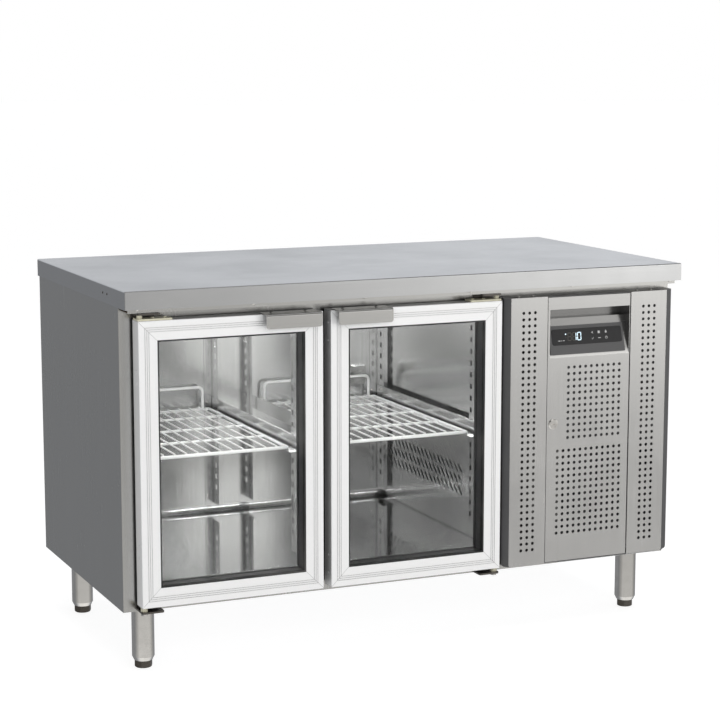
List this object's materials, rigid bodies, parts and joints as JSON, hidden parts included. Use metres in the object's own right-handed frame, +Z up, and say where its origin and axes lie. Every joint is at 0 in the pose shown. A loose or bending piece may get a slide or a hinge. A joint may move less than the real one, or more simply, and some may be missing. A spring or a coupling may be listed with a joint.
{
  "type": "undercounter refrigerator",
  "caption": "Low refrigerated counter with hinged glass doors, wire shelves, a flat steel worktop, levelling feet and a perforated machine cover with a display on the right.",
  "frame": {"origin": "on the floor, at the middle of the overall width and of the overall depth, handles included", "axes": "+Z up, +X along the width to the right as seen from the front, +Y from the doors to the back"},
  "size_m": [1.36, 0.717, 0.85],
  "materials": {
    "worktop_steel": "fine brushed stainless",
    "plywood": "raw plywood",
    "cabinet_steel": "fine brushed stainless",
    "galvanised_steel": "galvanised sheet",
    "foam": "rigid polyurethane foam",
    "bright_steel": "polished stainless",
    "cream_plastic": "moulded, slightly glossy",
    "satin_aluminium": "satin anodised extrusion",
    "black_plastic": "moulded, matt",
    "seal_rubber": "soft magnetic seal",
    "door_glass": "clear double glazing",
    "white_coated_wire": "white plastic-coated wire",
    "cover_steel": "fine brushed stainless",
    "dark_grey_paint": "dark grey, satin",
    "controller_plastic": "smooth dark window",
    "coil_aluminium": "raw fins",
    "black_paint": "black enamel",
    "fan_plastic": "moulded black",
    "copper": "drawn copper tube",
    "grey_plastic": "moulded grey",
    "cable_rubber": "black cable sheath"
  },
  "bodies": {
    "cabinet": {"back_panel": "galvanised_steel", "bottom_panel": "galvanised_steel", "cabinet_screws": "bright_steel", "centre_mullion": "cabinet_steel", "compressor": "black_paint", "condenser_coil": "coil_aluminium", "condenser_fan_motor": "black_paint", "control_box": "grey_plastic", "drip_pan": "galvanised_steel", "evaporator_coil": "coil_aluminium", "evaporator_cover": "cabinet_steel", "evaporator_fan_motor": "black_paint", "front_frame": "cabinet_steel", "front_pilasters": "cabinet_steel", "hinge_brackets": "galvanised_steel", "hinge_bushes": "cream_plastic", "hinge_pins": "bright_steel", "inner_liner": "cabinet_steel", "insulation": "foam", "left_side_panel": "cabinet_steel", "legs": "bright_steel", "power_cord": "cable_rubber", "probe_cover": "grey_plastic", "rear_grille": "galvanised_steel", "rear_pilasters": "cabinet_steel", "refrigerant_pipes": "copper", "right_side_panel": "cabinet_steel", "service_cover_frame": "dark_grey_paint", "shelf_runners": "cabinet_steel", "top_panel": "cabinet_steel", "unit_base": "galvanised_steel", "vent_strips": "cover_steel", "worktop_core": "plywood", "worktop_front_rail": "cabinet_steel", "worktop_skin": "worktop_steel"},
    "left_door": {"left_door_frame": "satin_aluminium", "left_door_gasket": "seal_rubber", "left_door_glass": "door_glass", "left_door_handle": "cabinet_steel", "left_door_hinge_plate": "cream_plastic", "left_door_reveal": "black_plastic"},
    "right_door": {"right_door_frame": "satin_aluminium", "right_door_gasket": "seal_rubber", "right_door_glass": "door_glass", "right_door_handle": "cabinet_steel", "right_door_hinge_plate": "cream_plastic", "right_door_reveal": "black_plastic"},
    "service_panel": {"service_panel": "cover_steel", "display_housing": "cover_steel", "display_bezel": "dark_grey_paint", "controller": "controller_plastic"},
    "lock": {"lock_barrel": "bright_steel"},
    "left_shelf": {"left_shelf": "white_coated_wire"},
    "right_shelf": {"right_shelf": "white_coated_wire"},
    "condenser_fan": {"condenser_fan_blades": "fan_plastic"},
    "evaporator_fan": {"evaporator_fan_blades": "fan_plastic"},
    "foot_front_left": {"foot_front_left": "black_plastic"},
    "foot_front_right": {"foot_front_right": "black_plastic"},
    "foot_rear_left": {"foot_rear_left": "black_plastic"},
    "foot_rear_right": {"foot_rear_right": "black_plastic"}
  },
  "joints": [
    {"name": "left_door_hinge", "type": "hinge", "parent": "cabinet", "child": "left_door", "pos_m": [-0.642, -0.3215, 0.474], "axis": [0, 0, -1], "range_deg": [0, 100]},
    {"name": "right_door_hinge", "type": "hinge", "parent": "cabinet", "child": "right_door", "pos_m": [0.202, -0.3215, 0.474], "axis": [0, 0, 1], "range_deg": [0, 100]},
    {"name": "service_panel_hinge", "type": "hinge", "parent": "cabinet", "child": "service_panel", "pos_m": [0.5405, -0.332, 0.404], "axis": [0, 0, 1], "range_deg": [0, 100]},
    {"name": "lock_turn", "type": "hinge", "parent": "service_panel", "child": "lock", "pos_m": [0.345, -0.3365, 0.4905], "axis": [0, -1, 0], "range_deg": [0, 90]},
    {"name": "left_shelf_slide", "type": "slide", "parent": "cabinet", "child": "left_shelf", "axis": [0, -1, 0], "range_m": [0, 0.04]},
    {"name": "right_shelf_slide", "type": "slide", "parent": "cabinet", "child": "right_shelf", "axis": [0, -1, 0], "range_m": [0, 0.04]},
    {"name": "condenser_fan_spin", "type": "hinge", "parent": "cabinet", "child": "condenser_fan", "pos_m": [0.535, -0.2045, 0.29], "axis": [0, 1, 0], "continuous": true},
    {"name": "evaporator_fan_spin", "type": "hinge", "parent": "cabinet", "child": "evaporator_fan", "pos_m": [0.273, 0.075, 0.64], "axis": [0, 0, 1], "continuous": true},
    {"name": "foot_front_left_screw", "type": "slide", "parent": "cabinet", "child": "foot_front_left", "axis": [0, 0, -1], "range_m": [0, 0.045]},
    {"name": "foot_front_right_screw", "type": "slide", "parent": "cabinet", "child": "foot_front_right", "axis": [0, 0, -1], "range_m": [0, 0.045]},
    {"name": "foot_rear_left_screw", "type": "slide", "parent": "cabinet", "child": "foot_rear_left", "axis": [0, 0, -1], "range_m": [0, 0.045]},
    {"name": "foot_rear_right_screw", "type": "slide", "parent": "cabinet", "child": "foot_rear_right", "axis": [0, 0, -1], "range_m": [0, 0.045]}
  ]
}
